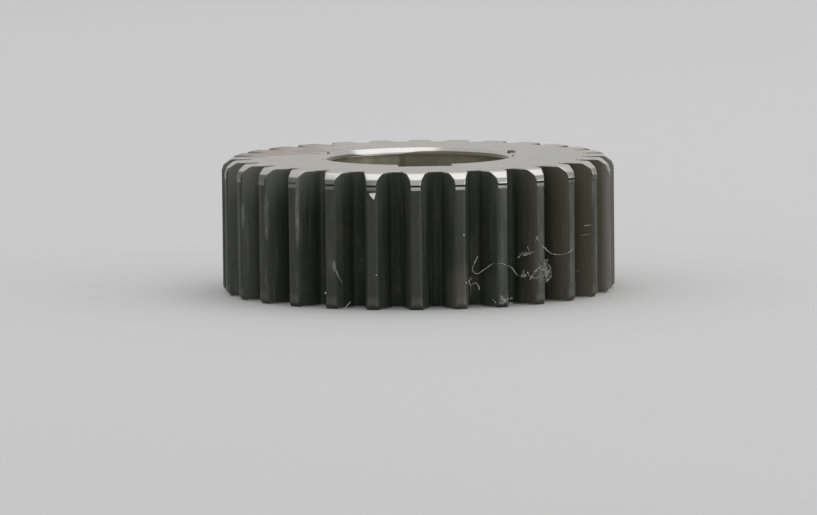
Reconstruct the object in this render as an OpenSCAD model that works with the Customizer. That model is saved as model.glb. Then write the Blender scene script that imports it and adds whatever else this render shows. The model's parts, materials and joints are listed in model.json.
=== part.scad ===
// Lathe change gear: a straight-toothed spur gear with a keyed bore.
// Millimetres. The bore stands along +Z, the lower ground face lies on z = 0
// and the keyway is cut on the -Y side of the bore.

/* [Teeth] */
// Number of teeth
teeth = 28; // [24:1:60]
// Module: pitch diameter divided by the number of teeth
tooth_module = 2; // [1.5:0.25:3]
// Pressure angle of the involute flanks, in degrees
pressure_angle = 20; // [14.5:0.5:25]
// Height of the teeth above the pitch circle, in modules
addendum = 1; // [0.8:0.05:1.1]
// Depth of the tooth spaces below the pitch circle, in modules
dedendum = 1.25; // [1.15:0.05:1.4]
// Radius of the root fillets, in modules
root_fillet = 0.38; // [0.2:0.02:0.4]
// Turn of the tooth nearest the keyway from the keyway's middle, in degrees
tooth_turn = -4.6; // [-6:0.2:6]

/* [Blank] */
// Width of the gear between its ground faces
face_width = 20.5; // [12:0.5:40]
// Size of the 45 degree chamfer on the lower tooth ends
lower_chamfer = 0.75; // [0.3:0.05:1.5]

/* [Upper tooth ends] */
// Width, across the face, of the slight roll-over at the face's outer edge
end_roll_w = 0.55; // [0.2:0.05:1]
// Height of that roll-over
end_roll_h = 0.2; // [0.1:0.05:0.5]
// Width of the chamfer turned on the upper tooth ends, outside the roll-over
end_chamfer_w = 1; // [0.6:0.05:2]
// Height of that chamfer
end_chamfer_h = 0.75; // [0.6:0.05:2]
// Width of the steep bevel between the chamfer and the tooth tips
end_bevel_w = 0.3; // [0.1:0.05:0.6]
// Height of that bevel
end_bevel_h = 0.85; // [0.3:0.05:1.2]
// Tooth that the tool mark cuts deepest, counted anticlockwise from the one nearest the keyway
mark_tooth = 0; // [-3:1:3]
// Number of teeth that the mark touches before it runs out on both sides
mark_teeth = 9; // [5:2:13]
// Depth of the mark where it is deepest
mark_depth = 0.25; // [0.1:0.05:0.5]
// Height of the steep upper flank of the mark
mark_lip = 0.2; // [0.05:0.05:0.4]
// Height of the long lower flank of the mark
mark_slope = 0.75; // [0.3:0.05:1.2]

/* [Bore] */
// Diameter of the bore
bore_d = 28; // [16:1:32]
// Size of the 45 degree chamfer at both ends of the bore
bore_chamfer = 0.8; // [0.3:0.1:2]

/* [Keyway] */
// Width of the keyway
key_w = 8; // [4:0.5:10]
// Depth of the keyway below the wall of the bore
key_depth = 3.3; // [2:0.1:4]

/* [Nick] */
// Tooth that carries the nick, counted anticlockwise from the one nearest the keyway
nick_tooth = -1; // [-3:1:3]
// Side of the nick's three-cornered mouth
nick_w = 1.2; // [0.6:0.1:1.4]
// Distance of the nick below the upper face
nick_drop = 3.2; // [2.5:0.05:6]
// Offset of the nick from the middle of the tooth tip
nick_offset = 0.3; // [-0.4:0.1:0.4]
// Turn of the nick on the tooth tip, in degrees
nick_turn = -10; // [-60:5:60]

/* [Hidden] */
$fn = 120;
tooth_steel = [0.27, 0.27, 0.25];
flank_steps = 8;
fillet_steps = 5;
cut_over = 1;

pitch_angle = 360 / teeth;
pitch_r = teeth * tooth_module / 2;
base_r = pitch_r * cos(pressure_angle);
tip_r = pitch_r + addendum * tooth_module;
root_r = pitch_r - dedendum * tooth_module;
flank_r = root_r + root_fillet * tooth_module;

bore_r = bore_d / 2;
key_floor_r = bore_r + key_depth;

face_edge_r = tip_r - end_bevel_w - end_chamfer_w - end_roll_w;
roll_z = face_width - end_roll_h;
bevel_z = roll_z - end_chamfer_h;
mark_top_z = bevel_z - end_bevel_h;
mark_floor_z = mark_top_z - mark_lip;
mark_half_span = mark_teeth * pitch_angle / 2;
mark_shift = mark_depth / (1 - cos(mark_half_span));
mark_r = tip_r - mark_depth + mark_shift;

nick_depth = nick_w / sqrt(6);
cube_diagonal_tilt = atan(1 / sqrt(2));

// Involute function of an angle, in degrees
function involute(angle) = tan(angle) * 180 / PI - angle;

// Pressure angle of the flank at a radius; the flank is radial inside the base circle
function flank_angle(r) = r > base_r ? acos(base_r / r) : 0;

// Half the angle that a tooth space takes up at a radius
function half_space(r) =
    pitch_angle / 4 - involute(pressure_angle) + involute(flank_angle(r));

// Point on the left or right flank (side -1 or 1) of the space that is centred on -Y
function flank_point(r, side) =
    [side * r * sin(half_space(r)), -r * cos(half_space(r))];

// One flank from the root fillet to beyond the tooth tip
function flank(side) = concat(
    [for (i = [0 : flank_steps])
        flank_point(flank_r + (tip_r - flank_r) * i / flank_steps, side)],
    [flank_point(tip_r, side) * (tip_r + cut_over) / tip_r]
);

// Root fillet from the middle of the space out to the foot of a flank
function fillet(side) =
    let (
        foot = flank_point(flank_r, side),
        fillet_r = min(root_fillet * tooth_module, abs(foot[0])),
        middle = [foot[0] - side * fillet_r, foot[1]]
    )
    [for (i = [0 : fillet_steps - 1])
        let (turn = 90 * i / fillet_steps)
        middle + fillet_r * [side * sin(turn), cos(turn)]];

// Outline of one tooth space, walked from one tip down to the root and up the other
function reversed(list) = [for (i = [len(list) - 1 : -1 : 0]) list[i]];
function space_outline() = concat(
    reversed(flank(-1)), reversed(fillet(-1)), fillet(1), flank(1)
);

// Turned blank: ground faces, chamfered bore and the tip cylinder with its chamfers
module blank() {
    rotate_extrude()
        polygon([
            [bore_r + bore_chamfer, 0],
            [tip_r - lower_chamfer, 0],
            [tip_r, lower_chamfer],
            [tip_r, mark_top_z],
            [tip_r - end_bevel_w, bevel_z],
            [face_edge_r + end_roll_w, roll_z],
            [face_edge_r, face_width],
            [bore_r + bore_chamfer, face_width],
            [bore_r, face_width - bore_chamfer],
            [bore_r, bore_chamfer]
        ]);
}

// Mark under the bevel, from a tool that ran out of true and touched only some of the teeth
module tool_mark() {
    rotate(tooth_turn + pitch_angle * mark_tooth)
        translate([0, mark_shift, 0])
            rotate_extrude()
                polygon([
                    [mark_r, mark_floor_z],
                    [mark_r + 2 * mark_depth, mark_floor_z - 2 * mark_slope],
                    [mark_r + 2 * mark_depth, mark_floor_z + 2 * mark_lip]
                ]);
}

// Hobbed spaces between the teeth
module tooth_spaces() {
    for (i = [0 : teeth - 1])
        rotate(tooth_turn + pitch_angle * (i + 0.5))
            translate([0, 0, -cut_over])
                linear_extrude(face_width + 2 * cut_over)
                    polygon(space_outline());
}

// Slot for a parallel key, broached through the full width
module keyway() {
    translate([-key_w / 2, -key_floor_r, -cut_over])
        cube([key_w, key_floor_r, face_width + 2 * cut_over]);
}

// Three-cornered dent struck into one tooth tip by a hard corner
module nick() {
    rotate(tooth_turn + pitch_angle * nick_tooth)
        translate([nick_offset, nick_depth - tip_r, face_width - nick_drop])
            rotate([0, nick_turn, 0])
                rotate([180 - cube_diagonal_tilt, 0, 0])
                    rotate(45)
                        cube(nick_w);
}

module change_gear() {
    color(tooth_steel)
        difference() {
            blank();
            tooth_spaces();
            tool_mark();
            keyway();
            nick();
        }
}

change_gear();
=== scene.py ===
"""Looks of a lathe change gear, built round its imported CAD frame."""

import json
import logging
import math
import random
from collections.abc import Sequence
from dataclasses import dataclass
from enum import Enum, IntEnum
from functools import cached_property

import bpy
import numpy as np
from mathutils import Matrix, Vector


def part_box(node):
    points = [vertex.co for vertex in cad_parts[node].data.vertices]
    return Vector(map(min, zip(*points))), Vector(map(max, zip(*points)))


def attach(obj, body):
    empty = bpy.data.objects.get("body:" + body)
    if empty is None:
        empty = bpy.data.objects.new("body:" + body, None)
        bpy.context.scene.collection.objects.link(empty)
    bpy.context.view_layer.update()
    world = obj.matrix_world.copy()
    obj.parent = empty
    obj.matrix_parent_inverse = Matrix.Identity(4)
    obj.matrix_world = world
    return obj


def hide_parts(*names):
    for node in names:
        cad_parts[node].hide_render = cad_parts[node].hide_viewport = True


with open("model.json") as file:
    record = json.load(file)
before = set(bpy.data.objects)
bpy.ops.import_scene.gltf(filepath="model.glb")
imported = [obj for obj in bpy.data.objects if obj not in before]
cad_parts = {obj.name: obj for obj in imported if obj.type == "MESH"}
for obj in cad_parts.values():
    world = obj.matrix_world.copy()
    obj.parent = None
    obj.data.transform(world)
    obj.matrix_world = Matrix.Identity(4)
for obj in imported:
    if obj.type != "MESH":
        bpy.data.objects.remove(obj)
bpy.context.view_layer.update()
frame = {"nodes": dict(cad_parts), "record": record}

Socket = bpy.types.NodeSocket
Colour = tuple[float, float, float]
Place = tuple[float, float, float]
Point = tuple[float, float]
# Where a smooth step starts and ends, then its results there unless they are 0 and 1.
Ramp = tuple[float, ...]

MM = 0.001
NODE = "change_gear"
BODY = "root"
WHITE = (1.0, 1.0, 1.0, 1.0)
# Names of the values that the meshes carry.
ZONE = "zone"
WEAR = "wear"
MARK = "mark"
SIZE = "size"
# Largest share of a side that the rounding of one corner takes up.
CORNER_SHARE = 0.45
# Share of a soft spot's reach inside which it shows in full.
CORE_SHARE = 0.4
# Limits between which most values of a cloudy pattern lie.
CLOUD_RANGE = (0.3, 0.7)
log = logging.getLogger("gear")


class Zone(IntEnum):
    """Which finish a face of the gear takes."""

    GROUND = 0
    TURNED = 1
    HOBBED = 2
    BORED = 3
    BROACHED = 4


class Kind(Enum):
    """What an input of a node tree takes."""

    SHAPE = "NodeSocketGeometry"
    THING = "NodeSocketObject"
    COUNT = "NodeSocketInt"
    NUMBER = "NodeSocketFloat"
    ARROW = "NodeSocketVector"


def polar(radius: float, turn: float) -> np.ndarray:
    """Point at a radius, turned from -Y towards +X by an angle in radians."""
    return np.array((radius * math.sin(turn), -radius * math.cos(turn)))


def around(level: float, shifts: Sequence[float]) -> list[float]:
    """Levels that differ from one level by the given shifts."""
    return [level + shift for shift in shifts]


def bend(start: Point, knee: Point, end: Point, steps: int) -> list[np.ndarray]:
    """Round a corner from one point to another.

    Args:
        start: first point.
        knee: the corner that is rounded off.
        end: last point.
        steps: number of straight pieces.

    Returns:
        The points of the curve, with both ends.
    """
    first, middle, last = (np.array(spot) for spot in (start, knee, end))
    shares = (i / steps for i in range(steps + 1))
    return [first * (1 - t) ** 2 + middle * 2 * t * (1 - t) + last * t**2 for t in shares]


def soften(line: list[Point], reach: float, steps: int) -> list[Point]:
    """Round off the corners of a line.

    Args:
        line: points of the line.
        reach: how far from each corner the rounding starts.
        steps: straight pieces at each corner.

    Returns:
        The rounded line.
    """
    spots = [np.array(spot) for spot in line]
    made = [spots[0]]
    for before, corner, after in zip(spots, spots[1:], spots[2:]):
        ends = []
        for other in (before, after):
            way = other - corner
            ends.append(corner + way * min(CORNER_SHARE, reach / np.linalg.norm(way)))
        made += bend(ends[0], corner, ends[1], steps)
    made.append(spots[-1])
    return [(float(first), float(second)) for first, second in made]


def raw_mesh(
    name: str, points: Sequence, edges: Sequence = (), faces: Sequence = ()
) -> bpy.types.Mesh:
    """Make a mesh from its parts.

    Args:
        name: name of the mesh.
        points: places of its points, in metres.
        edges: point numbers of its loose edges.
        faces: point numbers of its faces.

    Returns:
        The mesh.
    """
    made = bpy.data.meshes.new(name)
    made.from_pydata(points, edges, faces)
    return made


def store(
    mesh: bpy.types.Mesh, name: str, values: Sequence, kind: str = "FLOAT", where: str = "POINT"
) -> None:
    """Keep a value for each point or face of a mesh.

    Args:
        mesh: the mesh that carries the values.
        name: name of the values.
        values: one for each point or face.
        kind: Blender's name of their type.
        where: POINT or FACE.
    """
    mesh.attributes.new(name, kind, where).data.foreach_set("value", values)


def marked_mesh(
    name: str, points: list, faces: list, zones: list[Zone], wear: list[float]
) -> bpy.types.Mesh:
    """Make a smooth mesh that carries the finish of its faces and the wear of its points.

    Args:
        name: name of the mesh.
        points: places of its points, in metres.
        faces: point numbers of each face.
        zones: finish of each face.
        wear: how rubbed each point is, from 0 to 1.

    Returns:
        The mesh.
    """
    made = raw_mesh(name, points, faces=faces)
    store(made, ZONE, [int(zone) for zone in zones], "INT", "FACE")
    store(made, WEAR, wear)
    made.polygons.foreach_set("use_smooth", [True] * len(faces))
    return made


def add_object(name: str, data: bpy.types.ID) -> bpy.types.Object:
    """Put a mesh, lamp or camera into the scene as an object at the origin.

    Args:
        name: name of the object.
        data: its mesh, lamp or camera.

    Returns:
        The new object.
    """
    made = bpy.data.objects.new(name, data)
    bpy.context.scene.collection.objects.link(made)
    return made


def plain_mesh(source: bpy.types.Object) -> bpy.types.Mesh:
    """Turn what an object's modifiers make into a mesh of its own.

    Args:
        source: object with live modifiers.

    Returns:
        A mesh with the modifiers' result.
    """
    graph = bpy.context.evaluated_depsgraph_get()
    return bpy.data.meshes.new_from_object(
        source.evaluated_get(graph), preserve_all_data_layers=True, depsgraph=graph
    )


def drop(*sources: bpy.types.Object) -> None:
    """Remove helper objects that a finished piece was made from."""
    for source in sources:
        bpy.data.objects.remove(source)


def grow(source: bpy.types.Object, tree: bpy.types.NodeTree, values: dict[str, object]) -> None:
    """Put a node tree on an object and set its inputs, each by its identifier.

    Args:
        source: object that the tree works on.
        tree: node tree with named inputs.
        values: values of those inputs, by name.
    """
    nodes = source.modifiers.new(tree.name, "NODES")
    nodes.node_group = tree
    for item in tree.interface.items_tree:
        if item.name in values:
            nodes[item.identifier] = values[item.name]


def grown_dust(
    name: str, mesh: bpy.types.Mesh, tree: bpy.types.NodeTree, values: dict[str, object]
) -> bpy.types.Object:
    """Make a piece of dust from a guide mesh and a node tree, and place it on the gear's body.

    Args:
        name: name of the piece.
        mesh: guide that the tree works on.
        tree: node tree with named inputs.
        values: values of those inputs, by name.

    Returns:
        The finished piece.
    """
    source = add_object(f"{name}_guide", mesh)
    grow(source, tree, values)
    piece = add_object(name, plain_mesh(source))
    drop(source)
    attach(piece, BODY)
    return piece


class NodeSheet:
    """A node tree that is filled in by short calls."""

    def __init__(self, tree: bpy.types.NodeTree) -> None:
        """Keep the tree that the nodes go into."""
        self.tree = tree

    def feed(self, socket: Socket, value: object) -> None:
        """Join a socket to another one, or set its value.

        Args:
            socket: input that is fed.
            value: an output socket, or a plain value.
        """
        if isinstance(value, Socket):
            self.tree.links.new(value, socket)
        else:
            socket.default_value = value

    def node(self, kind: str, inputs: dict | None = None, **settings: object) -> bpy.types.Node:
        """Add a node.

        Args:
            kind: Blender's name of the node type.
            inputs: values or sockets for its inputs, by name or index.
            settings: the node's own settings.

        Returns:
            The new node.
        """
        made = self.tree.nodes.new(kind)
        for name, value in settings.items():
            setattr(made, name, value)
        for key, value in (inputs or {}).items():
            self.feed(made.inputs[key], value)
        return made

    def out(self, kind: str, inputs: dict | None = None, **settings: object) -> Socket:
        """Add a node as node() does, and give its first output."""
        return self.node(kind, inputs, **settings).outputs[0]

    def maths(self, operation: str, first: object, second: object = 0.0) -> Socket:
        """Work out one sum of two numbers or sockets."""
        return self.out("ShaderNodeMath", {0: first, 1: second}, operation=operation)

    def vector(self, operation: str, inputs: dict, output: object = 0) -> Socket:
        """Work out one sum with vectors."""
        return self.node("ShaderNodeVectorMath", inputs, operation=operation).outputs[output]


class ShapeTree(NodeSheet):
    """A tree of Geometry Nodes with named inputs."""

    def __init__(self, name: str, takes: str, inputs: dict[str, Kind], gives: str) -> None:
        """Start a tree.

        Args:
            name: name of the tree.
            takes: name of the shape that it works on.
            inputs: kind of each other input, by name.
            gives: name of the shape that it makes.
        """
        super().__init__(bpy.data.node_groups.new(name, "GeometryNodeTree"))
        face = self.tree.interface
        for label, kind in {takes: Kind.SHAPE, **inputs}.items():
            face.new_socket(label, in_out="INPUT", socket_type=kind.value)
        face.new_socket(gives, in_out="OUTPUT", socket_type=Kind.SHAPE.value)
        self.given = self.node("NodeGroupInput").outputs

    def carried(self, name: str, kind: str = "FLOAT") -> Socket:
        """Read a value that the mesh carries."""
        return self.out("GeometryNodeInputNamedAttribute", {"Name": name}, data_type=kind)

    def copies(
        self, points: Socket, shape: Socket, turn: Socket, size: object = (1.0, 1.0, 1.0)
    ) -> Socket:
        """Put a copy of a shape on each point.

        Args:
            points: where the copies go.
            shape: what is copied.
            turn: each copy's turn about the three axes, in radians.
            size: each copy's scale.

        Returns:
            The copies, still as instances.
        """
        rotation = self.out("FunctionNodeEulerToRotation", {0: turn})
        inputs = {"Points": points, "Instance": shape, "Rotation": rotation, "Scale": size}
        return self.out("GeometryNodeInstanceOnPoints", inputs)

    def real(self, shape: Socket) -> Socket:
        """Turn instances into a plain mesh."""
        return self.out("GeometryNodeRealizeInstances", {0: shape})

    def dressed(self, shape: Socket, finish: bpy.types.Material, where: object = True) -> Socket:
        """Give a material to a shape, or to its faces where a mask is true."""
        inputs = {"Geometry": shape, "Selection": where, "Material": finish}
        return self.out("GeometryNodeSetMaterial", inputs)

    def ended(self, shape: Socket) -> bpy.types.NodeTree:
        """Close the tree with the shape that it gives."""
        self.node("NodeGroupOutput", {0: shape})
        return self.tree


@dataclass(frozen=True)
class Clouds:
    """A cloudy pattern.

    Its scale is in features for each millimetre. The others are its number of octaves, the share of
    its scale that holds along the bore, and the weight of the finer octaves.
    """

    scale: float
    octaves: float = 3.0
    along: float = 1.0
    rough: float = 0.55


class Recipe(NodeSheet):
    """The shader nodes of one finish, with coordinates in millimetres."""

    def __init__(self, name: str) -> None:
        """Start a material that has only its shader.

        Args:
            name: name of the material.
        """
        self.material = bpy.data.materials.new(name)
        self.material.use_nodes = True
        super().__init__(self.material.node_tree)
        self.shader = self.tree.nodes["Principled BSDF"]

    @cached_property
    def place(self) -> Socket:
        """Coordinates in millimetres."""
        place = self.node("ShaderNodeTexCoord").outputs["Object"]
        return self.vector("SCALE", {0: place, "Scale": 1 / MM})

    @cached_property
    def x(self) -> Socket:
        """Place from left to right."""
        return self.axis("X")

    @cached_property
    def y(self) -> Socket:
        """Place from front to back."""
        return self.axis("Y")

    @cached_property
    def z(self) -> Socket:
        """Height above the lower face."""
        return self.axis("Z")

    @cached_property
    def radius(self) -> Socket:
        """Distance from the bore's axis."""
        flat = self.vector("MULTIPLY", {0: self.place, 1: (1.0, 1.0, 0.0)})
        return self.vector("LENGTH", {0: flat}, "Value")

    def axis(self, name: str) -> Socket:
        """One coordinate by its name: X, Y or Z."""
        return self.node("ShaderNodeSeparateXYZ", {0: self.place}).outputs[name]

    def along(self, direction: Place) -> Socket:
        """Distance from the origin along a direction."""
        return self.vector("DOT_PRODUCT", {0: self.place, 1: direction}, "Value")

    def near(self, spot: Place, reach: float) -> Socket:
        """Mask that is 1 at a spot and falls to 0 at a reach from it."""
        away = self.vector("DISTANCE", {0: self.place, 1: spot}, "Value")
        return self.span(away, reach, reach * CORE_SHARE)

    def carried(self, name: str) -> Socket:
        """Read a value that the mesh carries."""
        return self.node("ShaderNodeAttribute", attribute_name=name).outputs["Fac"]

    def noise(self, clouds: Clouds) -> Socket:
        """Cloudy pattern between 0 and 1.

        Args:
            clouds: scale and detail of the pattern.

        Returns:
            The pattern's socket.
        """
        where = self.vector("MULTIPLY", {0: self.place, 1: (1.0, 1.0, clouds.along)})
        inputs = {
            "Vector": where,
            "Scale": clouds.scale,
            "Detail": clouds.octaves,
            "Roughness": clouds.rough,
        }
        return self.out("ShaderNodeTexNoise", inputs)

    def lines(self, position: Socket, scale: float) -> Socket:
        """Uneven tool lines that follow one number, such as the radius."""
        inputs = {"W": position, "Scale": scale, "Detail": 3.0, "Roughness": 0.6}
        return self.out("ShaderNodeTexNoise", inputs, noise_dimensions="1D")

    def span(
        self, value: object, low: float, high: float, least: float = 0.0, most: float = 1.0
    ) -> Socket:
        """Smooth step of a number from one limit to the other.

        Args:
            value: number or socket.
            low: where the result is at its least.
            high: where the result is at its most.
            least: result at low.
            most: result at high.

        Returns:
            The result's socket.
        """
        inputs = {
            "Value": value, "From Min": low, "From Max": high, "To Min": least, "To Max": most
        }
        return self.out("ShaderNodeMapRange", inputs, interpolation_type="SMOOTHSTEP")

    def over(self, pattern: Socket, least: float = 0.0, most: float = 1.0) -> Socket:
        """Number that runs from its least to its most over a pattern."""
        return self.span(pattern, *CLOUD_RANGE, least, most)

    def both(self, first: Socket, second: Socket) -> Socket:
        """Mask that shows only where two masks do."""
        return self.maths("MULTIPLY", first, second)

    def either(self, first: object, second: Socket) -> Socket:
        """Mask that shows where one of two masks does."""
        return self.maths("MAXIMUM", first, second)

    def mix(self, share: object, first: object, second: object) -> Socket:
        """Colour between two colours.

        Args:
            share: how much of the second colour shows.
            first: colour or socket.
            second: colour or socket.

        Returns:
            The mixed colour's socket.
        """
        # The node's inputs 6 and 7 are its two colours, and its output 2 is the mixed one.
        inputs = {0: share, 6: opaque(first), 7: opaque(second)}
        return self.node("ShaderNodeMix", inputs, data_type="RGBA").outputs[2]

    def fade(self, value: Socket, ramp: Sequence[float], first: object, second: object) -> Socket:
        """Colour that goes over from the first to the second as a number runs along a ramp."""
        return self.mix(self.span(value, *ramp), first, second)

    def set(self, name: str, value: object) -> None:
        """Feed one input of the shader."""
        self.feed(self.shader.inputs[name], value)

    def bump(self, height: Socket, depth: float, strength: float) -> None:
        """Give the shader fine relief.

        Args:
            height: pattern between 0 and 1.
            depth: its full height in millimetres.
            strength: how much of it shows.
        """
        inputs = {"Height": height, "Distance": depth * MM, "Strength": strength}
        self.set("Normal", self.out("ShaderNodeBump", inputs))

    def steel(
        self, colour: Socket, rough: Socket, grain: Socket, relief: Point, metal: object = 1.0
    ) -> bpy.types.Material:
        """Finish the material as steel.

        Args:
            colour: its colour.
            rough: its roughness.
            grain: pattern of its tool lines or its grain.
            relief: height of that pattern in millimetres, and how much of it shows.
            metal: how metallic it is.

        Returns:
            The material.
        """
        self.set("Base Color", colour)
        self.set("Roughness", rough)
        self.set("Metallic", metal)
        self.bump(grain, *relief)
        return self.material


def opaque(colour: object) -> object:
    """Add full alpha to a plain colour and leave a socket alone."""
    return (*colour, 1.0) if isinstance(colour, tuple) else colour


@dataclass(frozen=True)
class GroundSteel:
    """Ground faces: fine circular lay, warm and cool grey clouds, one rust stain on the upper face,
    painted shade on its broken edge.
    """

    face_z: float
    warm: Colour = (0.56, 0.51, 0.47)
    cool: Colour = (0.50, 0.495, 0.43)
    dull: Colour = (0.43, 0.395, 0.355)
    rust: Colour = (0.30, 0.20, 0.15)
    edge: Colour = (0.38, 0.372, 0.35)
    rough: Point = (0.22, 0.34)
    relief: Point = (0.004, 0.5)
    # Lay of the grinding, clouds and blotches.
    lay_scale: float = 9.0
    clouds: Clouds = Clouds(0.09)
    cloud_over: Ramp = (0.4, 0.6)
    blotches: Clouds = Clouds(0.3, 5.0)
    blotch_over: Ramp = (0.5, 0.75, 0.0, 0.7)
    # Heights that tell the upper face from the lower one, and levels of the upper face's broken edge,
    # which carries painted shade.
    upper_over: Ramp = (1.0, 2.0)
    edge_levels: Point = (-0.015, -0.06)
    # The rust stain: the way it lies, its ragged front and left edges, and its patches.
    stain_way: Place = (-0.406, 0.914, 0.0)
    stain_ragged: float = 12.0
    stain_front: Ramp = (17.4, 19.8)
    stain_left: Ramp = (16.5, 20.5)
    patches: Clouds = Clouds(0.5)
    patch_over: Ramp = (0.3, 0.6, 0.35, 0.9)

    def stain(self, make: Recipe, upper: Socket) -> Socket:
        """Shape the rust stain at the back left.

        Args:
            make: the material's nodes.
            upper: mask of the upper face.

        Returns:
            The stain's patchy mask.
        """
        ragged = make.maths("MULTIPLY", make.noise(self.blotches), self.stain_ragged)
        ahead = make.maths("ADD", make.along(self.stain_way), ragged)
        aside = make.maths("SUBTRACT", ragged, make.x)
        corner = make.both(make.span(ahead, *self.stain_front), make.span(aside, *self.stain_left))
        patches = make.span(make.noise(self.patches), *self.patch_over)
        return make.both(make.both(corner, upper), patches)

    def material(self) -> bpy.types.Material:
        """Build the finish.

        Returns:
            The material.
        """
        make = Recipe("ground_steel")
        lay = make.lines(make.radius, self.lay_scale)
        hue = make.fade(make.noise(self.clouds), self.cloud_over, self.warm, self.cool)
        grey = make.fade(make.noise(self.blotches), self.blotch_over, hue, self.dull)
        upper = make.span(make.z, *self.upper_over)
        stained = make.mix(self.stain(make, upper), grey, self.rust)
        below = make.span(make.z, *around(self.face_z, self.edge_levels))
        # Painted shade on the upper face's broken edge, which tones down its reflection.
        colour = make.mix(make.both(below, upper), stained, self.edge)
        return make.steel(colour, make.over(lay, *self.rough), lay, self.relief)


@dataclass(frozen=True)
class TurnedSteel:
    """Turned tooth ends and bore rims: bright tool lines, painted light and shade on the tooth ends that
    change round the gear, painted shade in the tool mark, olive low on the bore's rim.
    """

    face_z: float
    knee_z: float
    mark_z: float
    bore_r: float
    bright: Colour = (0.63, 0.625, 0.60)
    dull: Colour = (0.56, 0.557, 0.527)
    # Bevel and band colours, left and right: painted light and shade, with some oil on the bevel.
    oil_and_shade_left: Colour = (0.16, 0.161, 0.143)
    oil_and_light_right: Colour = (0.36, 0.36, 0.332)
    band_left: Colour = (0.20, 0.202, 0.18)
    band_right: Colour = (0.13, 0.132, 0.116)
    land: Colour = (0.066, 0.069, 0.060)
    # Painted shade in the tool mark.
    groove_shade: Colour = (0.035, 0.036, 0.032)
    olive: Colour = (0.18, 0.168, 0.126)
    rough: Point = (0.09, 0.17)
    tooth_rougher: float = 0.15
    relief: Point = (0.006, 0.4)
    # Tool lines, dull patches, and painted shade towards the left.
    line_scale: float = 14.0
    patches: Clouds = Clouds(0.6)
    patch_over: Ramp = (0.5, 0.85, 0.0, 0.3)
    left_shade_over: Ramp = (-14.0, -24.0, 0.0, 0.25)
    # Where the bevel takes painted light, and how sharply the chamfer ends above it.
    lit_bevel_way: Place = (0.087, -0.996, 0.0)
    lit_bevel_over: Ramp = (27.0, 29.0)
    crisp_over: Ramp = (18.0, 22.0)
    crisp_levels: Point = (0.02, -0.18)
    faded_levels: Point = (0.2, -0.15)
    # Oil and painted shade on the bevel, and the band from the tool mark down to the land, which carries
    # painted light and shade.
    oil_and_shade_over: Ramp = (-28.0, 14.0)
    band_way: Place = (0.05, -0.999, 0.0)
    band_over: Ramp = (27.6, 30.0)
    band_levels: Point = (0.05, -0.05)
    land_levels: Point = (-0.36, -0.64)
    # Painted shade in the tool mark, and where round the gear it lies.
    mark_slant: Place = (0.004, 0.0, 1.0)
    mark_lift: float = 0.1
    mark_over: Ramp = (0.22, 0.1)
    groove_shade_way: Place = (0.144, -0.990, 0.0)
    groove_shade_over: Ramp = (14.5, 22.0)
    # The darker olive low on the bore's rim, and where the rim gives way to the teeth.
    rim_dark_levels: Point = (-0.9, -0.5)
    rim_dark_right: Point = (-2.6, 2.0)
    rim_dark_left: Point = (-7.0, -10.0)
    rim_dark_over: Ramp = (0.06, -0.06)
    bore_edge: Point = (2.0, 3.0)

    def tooth_ends(self, make: Recipe, shine: Socket) -> Socket:
        """Colour the tooth ends from the chamfer down to the land, with painted light and shade that
        change round the gear.

        Args:
            make: the material's nodes.
            shine: colour of clean turned steel.

        Returns:
            The colour's socket.
        """
        # Painted light on the bevels and bands of the front teeth; oil and painted shade on the other
        # bevels, darker on the left; painted light and shade on the other bands.
        ahead, aside = make.along(self.lit_bevel_way), make.span(make.x, *self.oil_and_shade_over)
        oil_and_shade = make.mix(aside, self.oil_and_shade_left, self.oil_and_light_right)
        bevel = make.fade(ahead, self.lit_bevel_over, oil_and_shade, self.dull)
        band = make.mix(aside, self.band_left, self.band_right)
        band = make.fade(make.along(self.band_way), self.band_over, band, self.dull)
        band = make.fade(make.z, around(self.mark_z, self.land_levels), band, self.land)
        bevel = make.fade(make.z, around(self.mark_z, self.band_levels), bevel, band)
        crisp = make.fade(make.z, around(self.knee_z, self.crisp_levels), shine, bevel)
        faded = make.fade(make.z, around(self.knee_z, self.faded_levels), shine, bevel)
        colour = make.fade(ahead, self.crisp_over, faded, crisp)
        above = make.maths("SUBTRACT", make.along(self.mark_slant), self.mark_z + self.mark_lift)
        groove = make.span(make.maths("ABSOLUTE", above), *self.mark_over)
        # Painted shade in the tool mark, strongest on the front teeth.
        shaded_groove = make.span(make.along(self.groove_shade_way), *self.groove_shade_over)
        return make.mix(make.both(shaded_groove, groove), colour, self.groove_shade)

    def rim_dark(self, make: Recipe) -> Socket:
        """Shape the darker olive low on the bore's rim, which ends higher on the right and far left.

        Args:
            make: the material's nodes.

        Returns:
            Its mask.
        """
        levels = around(self.face_z, self.rim_dark_levels)
        right = make.span(make.x, *self.rim_dark_right, *levels)
        left = make.span(make.x, *self.rim_dark_left, *levels)
        above = make.maths("SUBTRACT", make.z, make.either(right, left))
        return make.span(above, *self.rim_dark_over)

    def material(self) -> bpy.types.Material:
        """Build the finish.

        Returns:
            The material.
        """
        make = Recipe("turned_steel")
        lines = make.lines(make.maths("ADD", make.radius, make.z), self.line_scale)
        patches = make.span(make.noise(self.patches), *self.patch_over)
        # Dull patches, and painted shade on the chamfers towards the left.
        dull_and_shade = make.either(patches, make.span(make.x, *self.left_shade_over))
        shine = make.mix(dull_and_shade, self.bright, self.dull)
        edge = around(self.bore_r, self.bore_edge)
        inside, outside = make.span(make.radius, *reversed(edge)), make.span(make.radius, *edge)
        colour = make.mix(outside, shine, self.tooth_ends(make, shine))
        colour = make.mix(make.both(self.rim_dark(make), inside), colour, self.olive)
        rougher = make.maths("MULTIPLY", outside, self.tooth_rougher)
        rough = make.maths("ADD", rougher, make.over(lines, *self.rough))
        return make.steel(colour, rough, lines, self.relief)


@dataclass(frozen=True)
class Rub:
    """A rubbed streak along a tooth: angle in degrees, then lengths in millimetres."""

    turn: float
    height: float
    half_length: float
    half_width: float
    strength: float


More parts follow.
